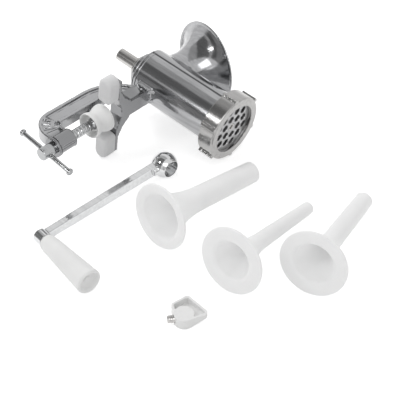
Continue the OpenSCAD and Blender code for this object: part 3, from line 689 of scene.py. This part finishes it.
# grip: a long cone with a rounded shoulder and a shallow dish in its far end
gripSettings = {
    "length": 64.5, "near": 7.6, "far": 11.8, "dish": 4.5, "dishRadius": 8.9, "bore": 3.1,
    "boreDepth": 60.7,
}
g = gripSettings
end, dishFloor, dishRim = g["length"], g["length"] - g["dish"], g["dishRadius"]
line = roundedLine([
    (0, g["boreDepth"]), (g["bore"], g["boreDepth"], 0.2), (g["bore"], 0, 0.2), (g["near"], 0, 2.0),
    (g["near"] + 0.9, 8, 3), (g["far"], end - 1.2, 1.8), (dishRim + 1.2, end, 1.0),
    (dishRim, end - 1.0, 0.8), (dishRim - 1.6, dishFloor, 1.5), (0, dishFloor)])
newPiece("crank_grip_form", lathed(line, gripPlace), "grip", "whitePlastic",
         ["crank_grip"])

# stud of the thumb screw
studSettings = {"shank": 3.14, "crest": 3.4, "pitch": 1.1, "from": 3.0, "to": 14.0}
studPlace = thumbPlace @ turnedBy(90, "Y")
t = studSettings
line = roundedLine([(0, t["from"]), (t["shank"], t["from"]), (t["shank"], t["to"], 0.7), (0, t["to"])])
newPiece("thumb_screw_stud_form", lathed(line, studPlace, 64), "thumb_screw", "turnedSteel",
         ["thumb_screw_stud"])
print("turned pieces made")


# a Geometry Nodes tree with named number inputs, which wiring builds up to its last geometry
def growTree(name, inputs, wiring):
    tree = bpy.data.node_groups.new(name, "GeometryNodeTree")
    for label, default in inputs.items():
        kind = "NodeSocketInt" if isinstance(default, int) else "NodeSocketFloat"
        tree.interface.new_socket(label, in_out="INPUT", socket_type=kind).default_value = default
    tree.interface.new_socket("Material", in_out="INPUT", socket_type="NodeSocketMaterial")
    tree.interface.new_socket("Geometry", in_out="OUTPUT", socket_type="NodeSocketGeometry")
    given = tree.nodes.new("NodeGroupInput").outputs

    def node(kind, settings=None, values=None, out=0):
        made = tree.nodes.new(kind)
        for key, value in (settings or {}).items():
            setattr(made, key, value)
        for key, value in (values or {}).items():
            if isinstance(value, bpy.types.NodeSocket):
                tree.links.new(value, made.inputs[key])
            else:
                made.inputs[key].default_value = value
        return made.outputs[out]

    grown = wiring(node, given)
    real = node("GeometryNodeRealizeInstances", {}, {"Geometry": grown})
    smooth = node("GeometryNodeSetShadeSmooth", {}, {0: real})
    painted = node("GeometryNodeSetMaterial", {}, {"Geometry": smooth, "Material": given["Material"]})
    tree.links.new(painted, tree.nodes.new("NodeGroupOutput").inputs["Geometry"])
    return tree


# the mesh that a tree makes of the given values
def grow(tree, finish, place, values):
    holder = bpy.data.objects.new("holder", bpy.data.meshes.new("empty"))
    scene.collection.objects.link(holder)
    modifier = holder.modifiers.new("grow", "NODES")
    modifier.node_group = tree
    for item in tree.interface.items_tree:
        if item.in_out == "INPUT":
            modifier[item.identifier] = finishes[finish] if item.name == "Material" else values[item.name]
    shown = holder.evaluated_get(bpy.context.evaluated_depsgraph_get())
    made = bpy.data.meshes.new_from_object(shown)
    holder.modifiers.clear()
    bpy.data.objects.remove(holder)
    made.transform(place)
    return made


# a round ridge wound along Z
def wireThread(node, given):
    path = node("GeometryNodeCurveSpiral", {}, {
        "Resolution": 40, "Rotations": given["Turns"], "Start Radius": given["Radius"],
        "End Radius": given["Radius"], "Height": given["Length"]})
    section = node("GeometryNodeCurvePrimitiveCircle", {}, {"Resolution": 6, "Radius": given["Depth"]})
    return node("GeometryNodeCurveToMesh", {}, {"Curve": path, "Profile Curve": section, "Fill Caps": True})


# rings of round wire, evenly spaced along Z
def wireBeads(node, given):
    offset = node("ShaderNodeCombineXYZ", {}, {"Z": given["Spacing"]})
    points = node("GeometryNodeMeshLine", {}, {"Count": given["Count"], "Offset": offset})
    ring = node("GeometryNodeCurvePrimitiveCircle", {}, {"Resolution": 120, "Radius": given["Radius"]})
    section = node("GeometryNodeCurvePrimitiveCircle", {}, {"Resolution": 10, "Radius": given["Wire"]})
    bead = node("GeometryNodeCurveToMesh", {}, {"Curve": ring, "Profile Curve": section})
    return node("GeometryNodeInstanceOnPoints", {}, {"Points": points, "Instance": bead})


# straight ribs along X, each turned further about Z than the last
def wireFan(node, given):
    start = node("ShaderNodeCombineXYZ", {}, {"X": given["Inner"]})
    end = node("ShaderNodeCombineXYZ", {}, {"X": given["Outer"]})
    path = node("GeometryNodeCurvePrimitiveLine", {}, {"Start": start, "End": end})
    section = node("GeometryNodeCurvePrimitiveCircle", {}, {"Resolution": 10, "Radius": given["Wire"]})
    rib = node("GeometryNodeCurveToMesh", {}, {"Curve": path, "Profile Curve": section, "Fill Caps": True})
    points = node("GeometryNodeMeshLine", {}, {"Count": given["Count"], "Offset": (0, 0, 0)})
    index = node("GeometryNodeInputIndex")
    step = node("ShaderNodeMath", {"operation": "MULTIPLY"}, {0: index, 1: given["Step"]})
    turn = node("ShaderNodeCombineXYZ", {}, {"Z": step})
    return node("GeometryNodeInstanceOnPoints", {}, {"Points": points, "Instance": rib, "Rotation": turn})


# rims around holes in a hexagonal pattern, with none in the middle
def wireHoles(node, given):
    rows = 2                     # on each side of the middle
    size, count = 2.0 * rows, 2 * rows + 1
    grid = node("GeometryNodeMeshGrid", {}, {
        "Size X": size, "Size Y": size, "Vertices X": count, "Vertices Y": count})
    spot = node("GeometryNodeInputPosition")
    split = node("ShaderNodeSeparateXYZ", {}, {0: spot})
    along, across = split, split.node.outputs[1]

    def maths(operation, *values):
        return node("ShaderNodeMath", {"operation": operation}, dict(enumerate(values)))

    both = maths("ABSOLUTE", maths("ADD", along, across))
    near = maths("LESS_THAN", both, rows + 0.5)
    far = maths("GREATER_THAN", maths("ADD", maths("ABSOLUTE", along), maths("ABSOLUTE", across)), 0.5)
    chosen = maths("MULTIPLY", near, far)
    x = maths("MULTIPLY", given["Pitch"], maths("ADD", along, maths("MULTIPLY", across, 0.5)))
    y = maths("MULTIPLY", given["Pitch"], maths("MULTIPLY", across, math.sin(math.radians(60))))
    kept = node("GeometryNodeDeleteGeometry", {"domain": "POINT"}, {
        "Geometry": grid, "Selection": maths("LESS_THAN", chosen, 0.5)})
    moved = node("GeometryNodeSetPosition", {}, {
        "Geometry": kept, "Position": node("ShaderNodeCombineXYZ", {}, {"X": x, "Y": y})})
    ring = node("GeometryNodeCurvePrimitiveCircle", {}, {"Resolution": 32, "Radius": given["Radius"]})
    section = node("GeometryNodeCurvePrimitiveCircle", {}, {"Resolution": 6, "Radius": given["Wire"]})
    bead = node("GeometryNodeCurveToMesh", {}, {"Curve": ring, "Profile Curve": section})
    return node("GeometryNodeInstanceOnPoints", {}, {"Points": moved, "Instance": bead})


threadTree = growTree("thread", {"Radius": 5.0, "Length": 10.0, "Turns": 5.0, "Depth": 0.5}, wireThread)
beadTree = growTree("beads", {"Radius": 10.0, "Wire": 0.5, "Count": 1, "Spacing": 1.0}, wireBeads)
fanTree = growTree("fan", {"Inner": 5.0, "Outer": 20.0, "Wire": 0.6, "Count": 5, "Step": 0.2}, wireFan)
holeTree = growTree("holeRims", {"Pitch": 10.0, "Radius": 3.8, "Wire": 0.3}, wireHoles)


# one mesh from several, each grown on its own
def joined(meshes):
    bm = bmesh.new()
    for mesh in meshes:
        bm.from_mesh(mesh)
    made = bpy.data.meshes.new("joined")
    bm.to_mesh(made)
    bm.free()
    return made


threadSettings = {
    # name: body, finish, place, settings with crest and pitch, thread depth, from, to
    "clamp_screw_thread": ("screw", "brightChrome", screwPlace, clampSettings, 0.55, -145.4, -102.5),
    "thumb_screw_thread": ("thumb_screw", "turnedSteel", studPlace, studSettings, 0.36, 8.8, 13.4),
}
for name, (body, finish, place, size, depth, low, high) in threadSettings.items():
    mesh = grow(threadTree, finish, place @ Matrix.Translation((0, 0, low)), {
        "Radius": size["crest"] - depth, "Length": high - low, "Turns": (high - low) / size["pitch"],
        "Depth": depth})
    newPiece(name, mesh, body, finish)

# beads turned on the casting: place, radius, wire, count, spacing, where the first one lies
alongBarrel = grinderPlace @ turnedBy(-90, "Y")
rimPlace = grinderPlace @ Matrix.Translation((-85, 0, 56)) @ turnedBy(13, "Y")
beadSettings = {
    "rearEdge": (alongBarrel, 25.0, 0.7, 2, 3.4, 108.2),
    "bossCollars": (screwPlace, 9.3, 0.55, 3, 1.5, -145.6),
    "bossTop": (screwPlace, 8.6, 0.45, 1, 1.0, -124.4),
    "hopperRim": (rimPlace, 43.35, 0.6, 1, 1.0, -0.7),
}
beads = []
for place, radius, wire, count, spacing, start in beadSettings.values():
    beads.append(grow(beadTree, "castMetal", place @ Matrix.Translation((0, 0, start)), {
        "Radius": radius, "Wire": wire, "Count": count, "Spacing": spacing}))
newPiece("casting_beads", joined(beads), "grinder_body", "castMetal")

# ribs that fan out from the inner corner of the frame, and the seam along the barrel
fanSettings = {
    "corner": (-107, -3.6, -122), "from": 5.0, "to": 18.6, "wire": 0.8, "count": 6,
    "first": 186, "step": 15,
}
f = fanSettings
cornerPlace = grinderPlace @ Matrix.Translation(f["corner"]) @ turnedBy(90, "X")
ribs = [grow(fanTree, "castMetal", cornerPlace @ turnedBy(f["first"], "Z"), {
    "Inner": f["from"], "Outer": f["to"], "Wire": f["wire"], "Count": f["count"],
    "Step": math.radians(f["step"])})]
seamSettings = {"height": 2.0, "radius": 24.9, "wire": 0.45, "from": -112.0, "to": -22.5}
m = seamSettings
seamPlace = grinderPlace @ Matrix.Translation((0, -m["radius"], m["height"]))
ribs.append(grow(fanTree, "castMetal", seamPlace, {
    "Inner": m["from"], "Outer": m["to"], "Wire": m["wire"], "Count": 1, "Step": 0.0}))
newPiece("casting_ribs", joined(ribs), "grinder_body", "castMetal")

# bright rims around the holes of the grinding plate
holeSettings = {"pitch": 10.0, "radius": 3.85, "wire": 0.22, "front": -4.1, "turn": 12}
h = holeSettings
platePlace = (grinderPlace @ Matrix.Translation((h["front"], 0, 0)) @ turnedBy(h["turn"], "X")
              @ Matrix(((0, 0, 1, 0), (1, 0, 0, 0), (0, 1, 0, 0), (0, 0, 0, 1))))
rims = grow(holeTree, "plateSteel", platePlace, {
    "Pitch": h["pitch"], "Radius": h["radius"], "Wire": h["wire"]})
newPiece("plate_hole_rims", rims, "plate", "plateSteel")
print("grown pieces made")

# two hidden solids that keep their own shape
for node, finish in {"thrust_washer": "whitePlastic", "plate_key_pin": "turnedSteel"}.items():
    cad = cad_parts[node]
    cad.data.materials.clear()
    cad.data.materials.append(finishes[finish])
print("pieces made")
